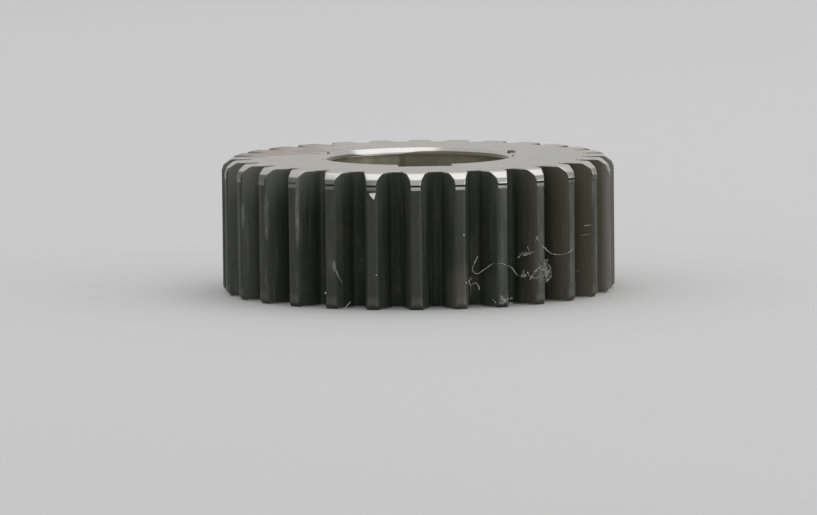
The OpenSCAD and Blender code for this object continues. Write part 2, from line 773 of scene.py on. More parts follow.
@dataclass(frozen=True)
class HobbedSteel:
    """Hobbed teeth: dark oiled steel, greener on the left and browner on the right, with rub marks.
    Painted light and shade in the flanks and roots, painted light on the ends of the lands and a painted
    highlight at the far right.
    """

    tip_r: float
    root_r: float
    rust_at: Place
    land: Colour = (0.064, 0.067, 0.058)
    # The flank, fillet and root colours carry painted light and shade: flanks lighter at the sides,
    # fillets lighter, root floors very dark.
    left: Colour = (0.061, 0.067, 0.056)
    middle: Colour = (0.038, 0.047, 0.037)
    right: Colour = (0.070, 0.067, 0.041)
    fillet: Colour = (0.044, 0.052, 0.041)
    root: Colour = (0.0085, 0.0145, 0.0085)
    root_right: Colour = (0.020, 0.025, 0.016)
    # Colour of worn metal, also used for painted light on the flanks and lands.
    wear_and_sheen: Colour = (0.21, 0.212, 0.19)
    bared: Colour = (0.30, 0.303, 0.275)
    oil: Colour = (0.068, 0.062, 0.042)
    dust: Colour = (0.13, 0.122, 0.10)
    # Painted highlight on the far right edges.
    far_right_highlight: Colour = (0.21, 0.19, 0.175)
    rust: Colour = (0.062, 0.048, 0.032)
    rough: Point = (0.38, 0.56)
    relief: Point = (0.02, 0.5)
    metal: Point = (0.2, 0.85)
    gloss: float = 0.3
    # Where the colours change, from left to right. The flanks are painted lighter on the left and right
    # than in the middle, and the roots lighter on the right: painted light.
    left_over: Ramp = (-22.0, -27.0)
    right_over: Ramp = (7.0, 20.0)
    root_over: Ramp = (3.0, 8.0)
    # Where they change above the root circle and below the tip circle: painted shade on the root floors
    # and painted light on the fillets.
    root_levels: Point = (0.02, 0.11)
    fillet_levels: Point = (2.6, 1.0)
    land_levels: Point = (-0.38, -0.1)
    # Oil blotches, and the painted light on the upper ends of the flanks.
    blotches: Clouds = Clouds(0.22, 4.0)
    blotch_over: Ramp = (0.5, 0.72, 0.0, 0.6)
    head_over: Ramp = (-8.0, -22.0, 0.1, 0.5)
    head_heights: Ramp = (13.0, 20.5)
    # Fine streaks along the teeth, stronger towards the left.
    streaks: Clouds = Clouds(1.6, 4.0, 0.06)
    streak_over: Ramp = (0.5, 0.8)
    streak_left: Ramp = (-14.0, -24.0, 0.2, 0.45)
    # Dust low on the right, and one heap of it.
    dust_right: Ramp = (14.0, 24.0, 0.0, 0.15)
    dust_heights: Ramp = (10.0, 3.0)
    dust_at: Place = (5.6, -28.8, 3.0)
    dust_reach: float = 5.0
    dust_share: float = 0.6
    # Painted light at both ends of the lands, at the top on the right and a painted reflection of the
    # floor at the foot, and a painted highlight at the far right.
    top_right: Ramp = (0.0, 10.0)
    top_heights: Ramp = (12.0, 18.0, 0.0, 0.18)
    foot_heights: Ramp = (2.4, 1.2, 0.0, 0.3)
    far_right_highlight_over: Ramp = (27.0, 28.0, 0.0, 0.5)
    # Patchy wear on the edges, spots in it, and specks.
    patches: Clouds = Clouds(0.3, 4.0, 0.45)
    patch_over: Ramp = (0.5, 0.75, 0.0, 0.4)
    spots: Clouds = Clouds(0.9, 3.0, 0.5)
    spot_over: Ramp = (0.35, 0.65, 0.3, 0.9)
    specks: Clouds = Clouds(2.6, 2.0, 0.5)
    speck_over: Ramp = (0.62, 0.8, 0.0, 0.3)
    # The rust spot and the rub marks.
    rust_reach: float = 0.55
    rub_core: float = 0.2
    rubs: tuple[Rub, ...] = (
        Rub(-41.0, 14.6, 8.5, 0.7, 1.7),
        Rub(-53.5, 13.4, 6.0, 0.85, 1.8),
        Rub(-66.6, 12.7, 4.0, 0.65, 1.9),
        Rub(-28.9, 6.5, 1.3, 0.45, 1.8),
        Rub(-30.1, 7.8, 3.2, 0.8, 0.2),
        Rub(20.4, 6.5, 8.0, 0.7, 0.25),
        Rub(33.6, 6.0, 8.0, 1.3, 0.3),
        Rub(33.0, 12.0, 6.0, 0.3, 0.2),
        Rub(46.6, 8.0, 12.0, 0.7, 0.31),
        Rub(59.9, 8.0, 12.0, 0.6, 0.31),
    )

    def flanks(self, make: Recipe) -> Socket:
        """Colour the oiled flanks and roots, with painted light and shade, and painted light on their
        upper ends towards the left.

        Args:
            make: the material's nodes.

        Returns:
            The colour's socket.
        """
        flank = make.fade(make.x, self.left_over, self.middle, self.left)
        flank = make.fade(make.x, self.right_over, flank, self.right)
        root = make.fade(make.x, self.root_over, self.root, self.root_right)
        deep = make.fade(make.radius, around(self.root_r, self.root_levels), root, self.fillet)
        side = make.fade(make.radius, around(self.root_r, self.fillet_levels), flank, deep)
        oil_and_shade = make.fade(make.noise(self.blotches), self.blotch_over, side, self.oil)
        # Painted light on the upper ends of the flanks, towards the left.
        heads = make.both(make.span(make.z, *self.head_heights), make.span(make.x, *self.head_over))
        return make.mix(heads, oil_and_shade, self.wear_and_sheen)

    def dust_and_light(self, make: Recipe, colour: Socket, on_land: Socket) -> Socket:
        """Add dust low on the right, and painted light at both ends of the lands.

        Args:
            make: the material's nodes.
            colour: colour without them.
            on_land: mask of the lands.

        Returns:
            The colour's socket.
        """
        low = make.both(make.span(make.x, *self.dust_right), make.span(make.z, *self.dust_heights))
        heap = make.maths("MULTIPLY", make.near(self.dust_at, self.dust_reach), self.dust_share)
        dusty = make.mix(make.either(heap, low), colour, self.dust)
        # Painted light on the upper lands to the right, and a painted reflection of the floor on the
        # lower ends of the lands.
        top = make.both(make.span(make.x, *self.top_right), make.span(make.z, *self.top_heights))
        ends = make.either(top, make.span(make.z, *self.foot_heights))
        return make.mix(make.both(on_land, ends), dusty, self.wear_and_sheen)

    def rub_marks(self, make: Recipe) -> Socket:
        """Shape the rubbed streaks along the teeth.

        Args:
            make: the material's nodes.

        Returns:
            The mask of all streaks.
        """
        marks = 0.0
        for rub in self.rubs:
            spot = (*polar(self.tip_r, math.radians(rub.turn)), rub.height)
            away = make.vector("SUBTRACT", {0: make.place, 1: spot})
            away = make.vector("MULTIPLY", {0: away, 1: (1, 1, rub.half_width / rub.half_length)})
            far = make.vector("LENGTH", {0: away}, "Value")
            core = rub.half_width * self.rub_core
            marks = make.either(marks, make.span(far, rub.half_width, core, 0.0, rub.strength))
        return marks

    def material(self) -> bpy.types.Material:
        """Build the finish.

        Returns:
            The material.
        """
        make = Recipe("hobbed_steel")
        land_levels = around(self.tip_r, self.land_levels)
        on_land = make.span(make.radius, *land_levels)
        streaks = make.noise(self.streaks)
        streaky = make.both(make.span(streaks, *self.streak_over), make.span(make.x, *self.streak_left))
        colour = make.mix(on_land, self.flanks(make), self.land)
        colour = self.dust_and_light(make, make.mix(streaky, colour, self.wear_and_sheen), on_land)
        # Painted highlight at the far right.
        colour = make.fade(make.x, self.far_right_highlight_over, colour, self.far_right_highlight)
        uneven = make.span(make.noise(self.spots), *self.spot_over)
        edges = make.both(make.carried(WEAR), make.span(make.noise(self.patches), *self.patch_over))
        specks = make.span(make.noise(self.specks), *self.speck_over)
        colour = make.mix(make.either(make.both(edges, uneven), specks), colour, self.wear_and_sheen)
        colour = make.mix(make.both(self.rub_marks(make), uneven), colour, self.bared)
        colour = make.mix(make.near(self.rust_at, self.rust_reach), colour, self.rust)
        make.set("Specular IOR Level", self.gloss)
        metal = make.span(make.radius, *land_levels, *self.metal)
        return make.steel(colour, make.over(streaks, *self.rough), streaks, self.relief, metal)


@dataclass(frozen=True)
class BoredSteel:
    """Wall of the bore: olive-grey with boring rings, painted shade under the rim and one brown rust
    streak.
    """

    face_z: float
    bright: Colour = (0.42, 0.40, 0.31)
    dull: Colour = (0.30, 0.285, 0.21)
    rust: Colour = (0.23, 0.17, 0.10)
    # Painted shade under the rim.
    rim_dark: Colour = (0.15, 0.125, 0.085)
    rough: Point = (0.42, 0.54)
    relief: Point = (0.01, 0.6)
    ring_scale: float = 7.0
    clouds: Clouds = Clouds(0.3, 4.0, 0.4)
    cloud_over: Ramp = (0.35, 0.65)
    rim_dark_over: Ramp = (1.8, 0.8, 0.0, 0.7)
    streak_x: float = -1.4
    streak_over: Ramp = (0.75, 0.225)
    streak_back: Ramp = (8.0, 10.0, 0.0, 0.8)

    def material(self) -> bpy.types.Material:
        """Build the finish.

        Returns:
            The material.
        """
        make = Recipe("bored_steel")
        rings = make.lines(make.z, self.ring_scale)
        olive = make.fade(make.noise(self.clouds), self.cloud_over, self.bright, self.dull)
        below = make.maths("SUBTRACT", self.face_z, make.z)
        # Painted shade on the wall just under the rim.
        olive = make.fade(below, self.rim_dark_over, olive, self.rim_dark)
        away = make.maths("ABSOLUTE", make.maths("SUBTRACT", make.x, self.streak_x))
        streak = make.both(make.span(away, *self.streak_over), make.span(make.y, *self.streak_back))
        colour = make.mix(streak, olive, self.rust)
        return make.steel(colour, make.over(rings, *self.rough), rings, self.relief)


@dataclass(frozen=True)
class BroachedSteel:
    """Keyway: dull steel with straight broaching lines along the bore."""

    bright: Colour = (0.40, 0.38, 0.31)
    dull: Colour = (0.24, 0.225, 0.175)
    rough: Point = (0.4, 0.55)
    relief: Point = (0.012, 0.6)
    strokes: Clouds = Clouds(3.5, 3.0, 0.03)

    def material(self) -> bpy.types.Material:
        """Build the finish.

        Returns:
            The material.
        """
        make = Recipe("broached_steel")
        strokes = make.noise(self.strokes)
        colour = make.mix(make.over(strokes), self.bright, self.dull)
        return make.steel(colour, make.over(strokes, *self.rough), strokes, self.relief)


@dataclass(frozen=True)
class BareSteelGlint:
    """Fresh metal in the nick, its glint painted in as a near-white colour, with torn grain."""

    # Near-white: the nick's glint is painted into its colour.
    bright: Colour = (0.93, 0.92, 0.90)
    torn: Colour = (0.75, 0.74, 0.71)
    rough: Point = (0.45, 0.65)
    relief: Point = (0.02, 0.5)
    metal: float = 0.25
    grain: Clouds = Clouds(5.0, 2.0)
    torn_over: Ramp = (0.5, 0.8)

    def material(self) -> bpy.types.Material:
        """Build the finish.

        Returns:
            The material.
        """
        make = Recipe("bare_steel")
        grain = make.noise(self.grain)
        colour = make.fade(grain, self.torn_over, self.bright, self.torn)
        return make.steel(colour, make.over(grain, *self.rough), grain, self.relief, self.metal)


@dataclass(frozen=True)
class DustFinish:
    """Dust and grit: dull, in two shades of one colour."""

    name: str
    pale: Colour
    dark: Colour
    roughness: float = 0.9
    relief: Point = (0.02, 0.5)
    shades: Clouds = Clouds(1.4, 2.0)
    shade_over: Ramp = (0.35, 0.65)
    fuzz: Clouds = Clouds(30.0)

    def material(self) -> bpy.types.Material:
        """Build the finish.

        Returns:
            The material.
        """
        make = Recipe(self.name)
        shades = make.noise(self.shades)
        make.set("Base Color", make.fade(shades, self.shade_over, self.pale, self.dark))
        make.set("Roughness", self.roughness)
        make.bump(make.noise(self.fuzz), *self.relief)
        return make.material


LINT = DustFinish("lint_fibre", (0.43, 0.43, 0.40), (0.20, 0.20, 0.18))
FLUFF = DustFinish("pale_crumb", (0.50, 0.50, 0.47), (0.25, 0.25, 0.225))
GRIT = DustFinish("dark_crumb", (0.24, 0.215, 0.16), (0.13, 0.115, 0.085))


@dataclass(frozen=True)
class PaleFloor:
    """Plain pale sheet that the gear lies on."""

    colour: Colour = (0.64, 0.64, 0.64)
    roughness: float = 0.85
    gloss: float = 0.2

    def material(self) -> bpy.types.Material:
        """Build the finish.

        Returns:
            The material.
        """
        make = Recipe("pale_floor")
        make.set("Base Color", opaque(self.colour))
        make.set("Roughness", self.roughness)
        make.set("Specular IOR Level", self.gloss)
        return make.material


@dataclass(frozen=True)
class Blank:
    """Main sizes of the turned blank, in millimetres."""

    tip_r: float
    face_width: float
    bore_r: float
    bore_chamfer: float

    @classmethod
    def from_frame(cls) -> "Blank":
        """Read the sizes off the CAD node and the record's bore mount.

        Returns:
            The blank.
        """
        low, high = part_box(NODE)
        points = frame["nodes"][NODE].data.vertices
        tip_r = max(math.hypot(point.co.x, point.co.y) for point in points)
        mounts = frame["record"]["mounts"]
        bore = next(mount["dims"] for mount in mounts if mount["name"] == "bore")
        width = round((high.z - low.z) / MM, 3)
        return cls(
            tip_r=round(tip_r / MM, 3),
            face_width=width,
            bore_r=bore["r_mm"],
            bore_chamfer=(width - bore["length_mm"]) / 2,
        )


@dataclass(frozen=True)
class ToothRing:
    """The hobbed teeth with their turned ends. Lengths are in millimetres, angles in degrees."""

    blank: Blank
    # The involute teeth. The dedendum and the root fillet are in modules.
    teeth: int = 28
    tooth_module: float = 2.0
    pressure_angle: float = 20.0
    dedendum: float = 1.25
    root_fillet: float = 0.38
    tooth_turn: float = -4.6
    # The turned ends, each by how far it goes inwards and down.
    lower_chamfer: float = 0.75
    end_roll: Point = (0.55, 0.2)
    end_chamfer: Point = (1.0, 0.75)
    end_bevel: Point = (0.3, 0.85)
    # The tool mark: the tooth where it is deepest, how many teeth it crosses, and its section.
    mark_tooth: int = 0
    mark_teeth: int = 9
    mark_depth: float = 0.25
    mark_lip: float = 0.2
    mark_slope: float = 0.75
    # Rounded and broken edges.
    land_round: float = 0.4
    end_round: float = 0.2
    edge_break: float = 0.16
    soft_cut: float = 0.16
    # The mesh: the circle where tooth and hub join, the least step, and numbers of steps.
    join_r: float = 24.0
    least_step: float = 0.012
    soft_steps: int = 3
    join_steps: int = 8
    break_steps: int = 3
    plain_rings: int = 4
    land_steps: int = 3
    corner_steps: int = 4
    flank_steps: int = 9
    fillet_steps: int = 5

    @property
    def pitch(self) -> float:
        """Angle from one tooth to the next, in radians."""
        return math.tau / self.teeth

    @property
    def turn(self) -> float:
        """Turn of tooth 0 from the keyway, in radians."""
        return math.radians(self.tooth_turn)

    @property
    def pitch_r(self) -> float:
        """Radius of the pitch circle."""
        return self.teeth * self.tooth_module / 2

    @property
    def flank_r(self) -> float:
        """Radius where the root fillets start."""
        return self.pitch_r + (self.root_fillet - self.dedendum) * self.tooth_module

    @property
    def root_r(self) -> float:
        """Radius of the root circle."""
        return self.flank_r - self.root_fillet * self.tooth_module

    @property
    def knee_z(self) -> float:
        """Height of the edge between the end chamfer and the bevel."""
        return self.blank.face_width - self.end_roll[1] - self.end_chamfer[1]

    @property
    def mark_z(self) -> float:
        """Height of the bottom of the tool mark."""
        return self.knee_z - self.end_bevel[1] - self.mark_lip

    @property
    def mark_low(self) -> float:
        """Height where the tool mark's lower slope ends."""
        return self.mark_z - self.mark_slope

    @property
    def mark_way(self) -> Place:
        """Direction in which the tool mark is deepest."""
        x, y = polar(1.0, self.turn + self.pitch * self.mark_tooth)
        return (float(x), float(y), 0.0)

    @property
    def mark_fade(self) -> float:
        """How fast the tool mark runs out to both sides."""
        return 1 / (1 - math.cos(self.mark_teeth * self.pitch / 2))

    def half_tooth(self, radius: float) -> float:
        """Half the angle that a tooth takes up.

        Args:
            radius: where it is measured.

        Returns:
            The half angle, in radians.
        """
        base = math.radians(self.pressure_angle)
        base_r = self.pitch_r * math.cos(base)
        there = math.acos(base_r / radius) if radius > base_r else 0.0
        return self.pitch / 4 + math.tan(base) - base - math.tan(there) + there

    def half_outline(self, tip_r: float, round_w: float) -> list[tuple[float, ...]]:
        """Outline of half a tooth, from the middle of its tip to the middle of the next root.

        Args:
            tip_r: radius of the tip at this height.
            round_w: width of the rounding at the tip's edge.

        Returns:
            Rows of x, y, wear, share of the end face's edge break and share of the tool mark.
        """
        edge = self.half_tooth(tip_r)
        edge_in = edge - round_w / tip_r
        low_r = tip_r - round_w
        rows = [
            (*polar(tip_r, edge_in * i / self.land_steps), 0.0, 0.0, 1.0)
            for i in range(self.land_steps)
        ]
        corner = bend(
            polar(tip_r, edge_in),
            polar(tip_r, edge),
            polar(low_r, self.half_tooth(low_r)),
            self.corner_steps,
        )
        for i, spot in enumerate(corner[:-1]):
            share = i / self.corner_steps
            rows.append((*spot, math.sin(math.pi * share), share, 1 - share))
        for i in range(self.flank_steps):
            radius = low_r + (self.flank_r - low_r) * i / self.flank_steps
            rows.append((*polar(radius, self.half_tooth(radius)), 0.0, 1.0, 0.0))
        rows += [(*spot, 0.0, 1.0, 0.0) for spot in self.half_root()]
        return rows

    def half_root(self) -> list[np.ndarray]:
        """Lay out the fillet and the root on the +X side of tooth 0.

        Returns:
            Points from the flank to the root's middle.
        """
        half = self.pitch / 2
        foot = polar(self.flank_r, self.half_tooth(self.flank_r) - half)
        fillet_r = min(self.root_fillet * self.tooth_module, abs(foot[0]))
        middle = foot + np.array((fillet_r, 0.0))
        spots = []
        for i in range(self.fillet_steps + 1):
            angle = math.pi / 2 * (1 - i / self.fillet_steps)
            spots.append(middle + fillet_r * np.array((-math.sin(angle), math.cos(angle))))
        spots.append(np.array((0.0, spots[-1][1])))
        turned = np.array(((math.cos(half), -math.sin(half)), (math.sin(half), math.cos(half))))
        return [turned @ spot for spot in spots]

    def outline(self, tip_r: float, round_w: float, inset: float) -> np.ndarray:
        """Outline of one tooth from root to root.

        Args:
            tip_r: radius of the tip at this height.
            round_w: width of the rounding at the tip's edge.
            inset: how far the flanks and roots are drawn in.

        Returns:
            Rows of x, y, wear and share of the tool mark.
        """
        right = np.array(self.half_outline(tip_r, round_w))
        left = right[:0:-1].copy()
        left[:, 0] *= -1
        rows = np.vstack((left, right))
        step = np.gradient(rows[:, :2], axis=0)
        step /= np.linalg.norm(step, axis=1)[:, None]
        inward = np.column_stack((-step[:, 1], step[:, 0]))
        rows[:, :2] += inward * rows[:, 3:4] * inset
        return rows[:, (0, 1, 2, 4)]

    def land_line(self) -> list[Point]:
        """Lay out the tooth tip without the tool mark, from the lower face up.

        Returns:
            Height and radius of each point.
        """
        tip, top = self.blank.tip_r, self.blank.face_width
        knee_r = tip - self.end_bevel[0]
        roll_r = knee_r - self.end_chamfer[0]
        corners = [
            (0.0, tip - self.lower_chamfer),
            (self.lower_chamfer, tip),
            (self.mark_z + self.mark_lip, tip),
            (self.knee_z, knee_r),
            (top - self.end_roll[1], roll_r),
            (top, roll_r - self.end_roll[0]),
        ]
        return soften(corners, self.soft_cut, self.soft_steps)

    def mark_line(self) -> list[Point]:
        """Lay out the tool mark where it is deepest, from the lower face up.

        Returns:
            Height and depth of each point.
        """
        corners = [
            (0.0, 0.0),
            (self.mark_low, 0.0),
            (self.mark_z, self.mark_depth),
            (self.mark_z + self.mark_lip, 0.0),
            (self.blank.face_width, 0.0),
        ]
        return soften(corners, self.soft_cut, self.soft_steps)

    def eased(self) -> list[float]:
        """Distances from an end face at which the rounded profile edges have points."""
        turns = (math.pi / 2 * i / self.break_steps for i in range(self.break_steps + 1))
        return [self.edge_break * (1 - math.cos(turn)) for turn in turns]

    def drawn_in(self, z: float) -> float:
        """How far the profile's rounded edge lies inside the profile at a height."""
        short = self.edge_break - min(z, self.blank.face_width - z)
        return self.edge_break - math.sqrt(self.edge_break**2 - short**2) if short > 0 else 0.0

    def heights(self) -> list[float]:
        """Choose the heights of the tooth's rings of points, without steps that are too small.

        Returns:
            The heights, from the lower face up.
        """
        top = self.blank.face_width
        middles = [top * (i + 1) / (self.plain_rings + 1) for i in range(self.plain_rings)]
        ends = [z for gap in self.eased() for z in (gap, top - gap)]
        kept = [0.0]
        shaped = [z for z, _ in self.land_line() + self.mark_line()]
        for z in sorted([*middles, *ends, *shaped]):
            if min(z - kept[-1], top - z) > self.least_step:
                kept.append(z)
        return [*kept, top]

    def spot(self, turn: float, height: float, depth: float) -> Vector:
        """Place at or below the tip circle.

        Args:
            turn: angle from -Y towards +X, in degrees.
            height: height above the lower face.
            depth: distance inside the tip circle.

        Returns:
            The place, in metres.
        """
        across = polar(self.blank.tip_r - depth, math.radians(turn))
        return Vector((*across, height)) * MM

    def rings(self, heights: list[float]) -> tuple[list[Place], list[float], list[float]]:
        """Lay out the points of the tooth's skin, ring by ring.

        Args:
            heights: height of each ring.

        Returns:
            Each point's place in metres, its wear, and its depth in the tool mark in metres.
        """
        line_z, line_r = zip(*self.land_line())
        mark_z, mark_depth = zip(*self.mark_line())
        points, wear, marks = [], [], []
        for z in heights:
            plain_land = self.lower_chamfer < z < self.mark_low
            ring = self.outline(
                float(np.interp(z, line_z, line_r)),
                self.land_round if plain_land else self.end_round,
                self.drawn_in(z),
            )
            points += [(x * MM, y * MM, z * MM) for x, y in ring[:, :2]]
            wear += list(ring[:, 2])
            marks += list(ring[:, 3] * np.interp(z, mark_z, mark_depth) * MM)
        return points, wear, marks

    def skin(self, heights: list[float], count: int) -> tuple[list[tuple[int, ...]], list[Zone]]:
        """Join the rings of points by faces.

        Args:
            heights: height of each ring.
            count: points in each ring.

        Returns:
            Each face's point numbers and its finish.
        """
        half_land = self.land_steps + self.corner_steps // 2
        land = range(count // 2 - half_land, count // 2 + half_land)
        faces, zones = [], []
        for level, (z, above) in enumerate(zip(heights, heights[1:])):
            middle = (z + above) / 2
            tip = Zone.TURNED if middle > self.mark_low else Zone.HOBBED
            side = Zone.GROUND if self.drawn_in(middle) > 0 else Zone.HOBBED
            for i in range(count - 1):
                low = level * count + i
                faces.append((low, low + 1, low + count + 1, low + count))
                zones.append(tip if i in land else side)
        return faces, zones

    def mesh(self) -> bpy.types.Mesh:
        """Build one tooth with its share of the end faces.

        Returns:
            A mesh that is open where the next teeth and the hub join it.
        """
        heights = self.heights()
        points, wear, marks = self.rings(heights)
        count = len(points) // len(heights)
        faces, zones = self.skin(heights, count)
        last = len(points) - count
        for z, first in ((0.0, 0), (self.blank.face_width, last)):
            inner = len(points)
            for i in range(self.join_steps + 1):
                spot = polar(self.join_r, self.pitch * (0.5 - i / self.join_steps))
                points.append((*(spot * MM), z * MM))
            face = [*range(first, first + count), *range(inner, len(points))]
            faces.append(face if z else face[::-1])
            zones.append(Zone.GROUND)
        unworn = [0.0] * (len(points) - len(wear))
        made = marked_mesh("tooth", points, faces, zones, wear + unworn)
        store(made, MARK, marks + unworn)
        return made

    def tree(self, finishes: dict[Zone, bpy.types.Material]) -> bpy.types.NodeTree:
        """Build the node tree that sets the teeth round the hub.

        Args:
            finishes: material of each zone.

        Returns:
            A tree with the inputs Tooth, Teeth, Turn, Weld, Mark Way and Mark Fade.
        """
        inputs = {
            "Tooth": Kind.THING,
            "Teeth": Kind.COUNT,
            "Turn": Kind.NUMBER,
            "Weld": Kind.NUMBER,
            "Mark Way": Kind.ARROW,
            "Mark Fade": Kind.NUMBER,
        }
        sheet = ShapeTree("tooth_ring", "Hub", inputs, "Gear")
        given = sheet.given
        tooth = sheet.node("GeometryNodeObjectInfo", {"Object": given["Tooth"]}).outputs["Geometry"]
        spots = sheet.out("GeometryNodePoints", {"Count": given["Teeth"]})
        pitch = sheet.maths("DIVIDE", math.tau, given["Teeth"])
        steps = sheet.maths("MULTIPLY", sheet.out("GeometryNodeInputIndex"), pitch)
        turn = sheet.maths("ADD", steps, given["Turn"])
        ring = sheet.copies(spots, tooth, sheet.out("ShaderNodeCombineXYZ", {"Z": turn}))
        joined = sheet.node("GeometryNodeJoinGeometry", {0: sheet.real(ring)})
        sheet.feed(joined.inputs[0], given["Hub"])
        welded = sheet.out(
            "GeometryNodeMergeByDistance", {"Geometry": joined.outputs[0], "Distance": given["Weld"]}
        )
        place = sheet.out("GeometryNodeInputPosition")
        flat = sheet.vector("MULTIPLY", {0: place, 1: (1.0, 1.0, 0.0)})
        outward = sheet.vector("NORMALIZE", {0: flat})
        ahead = sheet.vector("DOT_PRODUCT", {0: outward, 1: given["Mark Way"]}, "Value")
        short = sheet.maths("MULTIPLY", sheet.maths("SUBTRACT", 1.0, ahead), given["Mark Fade"])
        share = sheet.maths("MAXIMUM", sheet.maths("SUBTRACT", 1.0, short), 0.0)
        cut = sheet.maths("MULTIPLY", share, sheet.carried(MARK))
        inward = sheet.vector("SCALE", {0: outward, "Scale": sheet.maths("MULTIPLY", cut, -1.0)})
        gear = sheet.out("GeometryNodeSetPosition", {"Geometry": welded, "Offset": inward})
        zone = sheet.carried(ZONE, "INT")
        # The node's inputs 2 and 3 are the whole numbers that it compares.
        for which, material in finishes.items():
            numbers = {2: zone, 3: int(which)}
            same = sheet.out("FunctionNodeCompare", numbers, data_type="INT", operation="EQUAL")
            gear = sheet.dressed(gear, material, same)
        return sheet.ended(gear)


@dataclass(frozen=True)
class Hub:
    """The body inside the teeth: end faces, chamfered bore and keyway. Millimetres."""

    ring: ToothRing
    # The keyway.
    key_w: float = 8.0
    key_depth: float = 3.3
    key_break: float = 0.1
    # The bore's rim, rounded by wear.
    rim_bend: Point = (0.72, 0.1)
    rim_depth: float = 1.0
    rim_round: float = 0.2
    # The mesh: numbers of steps.
    rim_steps: int = 3
    half_floor: int = 8
    wall_steps: int = 2

    @property
    def blank(self) -> Blank:
        """Main sizes of the gear."""
        return self.ring.blank

    @property
    def loop_points(self) -> int:
        """Number of points round the hub at each height."""
        return self.ring.teeth * self.ring.join_steps

    def inner_loop(self, bore_r: float, spread: float) -> list[np.ndarray]:
        """Outline of the bore with its keyway, from the keyway's middle towards +X.

        Args:
            bore_r: radius of the bore at this height.
            spread: how far the keyway's walls are drawn back.

        Returns:
            The outline's points.
        """
        half_w = self.key_w / 2 + spread
        floor_y = -(self.blank.bore_r + self.key_depth + spread)
        mouth = math.asin(half_w / bore_r)
        mouth_y = -bore_r * math.cos(mouth)
        side = [
            np.array((half_w * i / self.half_floor, floor_y)) for i in range(self.half_floor)
        ]
        for i in range(self.wall_steps):
            y = floor_y + (mouth_y - floor_y) * i / self.wall_steps
            side.append(np.array((half_w, y)))
        arc_steps = self.loop_points - 2 * len(side)
        arc = [
            polar(bore_r, mouth + (math.tau - 2 * mouth) * i / arc_steps)
            for i in range(arc_steps + 1)
        ]
        other = [spot * np.array((-1.0, 1.0)) for spot in side[:0:-1]]
        return side + arc + other

    def outer_loop(self) -> list[np.ndarray]:
        """Lay out the circle where the teeth join.

        Returns:
            Its points, from the one that is nearest the keyway's middle.
        """
        ring = self.ring
        step = ring.pitch / ring.join_steps
        start = ring.turn - ring.pitch / 2
        first = round(-start / step)
        return [polar(ring.join_r, start + (first + i) * step) for i in range(self.loop_points)]

    def bore_line(self) -> list[Point]:
        """Lay out the bore with its rims rounded by wear, from the lower face up.

        Returns:
            Height and radius of each point.
        """
        bore_r, top = self.blank.bore_r, self.blank.face_width
        down, out = self.rim_bend
        corners = [
            (0.0, bore_r + self.blank.bore_chamfer), (down, bore_r + out), (self.rim_depth, bore_r)
        ]
        lower = soften(corners, self.rim_round, self.rim_steps)
        return lower + [(top - z, r) for z, r in reversed(lower)]

    def mesh(self) -> bpy.types.Mesh:
        """Build the end faces and the wall of the bore.

        Returns:
            A mesh that is open where the teeth join it.
        """
        top = self.blank.face_width
        line = self.bore_line()
        heights = [z for z, _ in line]
        count = self.loop_points
        points = []
        for z, bore_r in line:
            spread = max(0.0, self.key_break - min(z, top - z))
            points += [(*(spot * MM), z * MM) for spot in self.inner_loop(bore_r, spread)]
        faces, zones = [], []
        slot_end = self.half_floor + self.wall_steps
        for level, (z, above) in enumerate(zip(heights, heights[1:])):
            middle = (z + above) / 2
            plain = self.rim_depth < middle < top - self.rim_depth
            low, high = level * count, (level + 1) * count
            for i in range(count):
                after = (i + 1) % count
                faces.append((low + i, high + i, high + after, low + after))
                if i < slot_end or i >= count - slot_end:
                    zones.append(Zone.BROACHED)
                else:
                    zones.append(Zone.BORED if plain else Zone.TURNED)
        last = (len(heights) - 1) * count
        for z, inner in ((0.0, 0), (top, last)):
            outer = len(points)
            points += [(*(spot * MM), z * MM) for spot in self.outer_loop()]
            for i in range(count):
                after = (i + 1) % count
                face = (outer + i, outer + after, inner + after, inner + i)
                faces.append(face if z else face[::-1])
                zones.append(Zone.GROUND)
        return marked_mesh("hub", points, faces, zones, [0.0] * len(points))


@dataclass(frozen=True)
class Nick:
    """Three-cornered dent that a hard corner struck into one tooth tip. Millimetres."""

    ring: ToothRing
    tooth: int = -1
    side: float = 1.2
    drop: float = 3.2
    offset: float = 0.3
    turn: float = -10.0
    rust_offset: float = -0.5
    rust_drop: float = 2.95

    @property
    def tooth_angle(self) -> float:
        """Angle of the tooth that carries the nick, in radians."""
        return self.ring.turn + self.ring.pitch * self.tooth

    def rust_at(self) -> Place:
        """Find the rust spot beside the nick.

        Returns:
            Its place, in millimetres.
        """
        tip_r = self.ring.blank.tip_r
        x, y = polar(tip_r, self.tooth_angle + self.rust_offset / tip_r)
        return (float(x), float(y), self.ring.blank.face_width - self.rust_drop)

    def cutter(self, finish: bpy.types.Material) -> bpy.types.Object:
        """Build the corner that is cut out of the tooth.

        Args:
            finish: material of the dent's sides.

        Returns:
            The cutter, a small cube that enters the tooth corner first.
        """
        depth = self.side / math.sqrt(6)
        tilt = math.pi - math.atan(1 / math.sqrt(2))
        blank = self.ring.blank
        place = Vector((self.offset, depth - blank.tip_r, blank.face_width - self.drop)) * MM
        matrix = (
            Matrix.Rotation(self.tooth_angle, 4, "Z")
            @ Matrix.Translation(place)
            @ Matrix.Rotation(math.radians(self.turn), 4, "Y")
            @ Matrix.Rotation(tilt, 4, "X")
            @ Matrix.Rotation(math.radians(45), 4, "Z")
        )
        size = self.side * MM
        corners = [Vector((x, y, z)) for x in (0, size) for y in (0, size) for z in (0, size)]
        faces = [(0, 1, 3, 2), (4, 6, 7, 5), (0, 4, 5, 1), (2, 3, 7, 6), (0, 2, 6, 4), (1, 5, 7, 3)]
        mesh = raw_mesh("nick", [matrix @ corner for corner in corners], faces=faces)
        mesh.materials.append(finish)
        return add_object("nick_cutter", mesh)


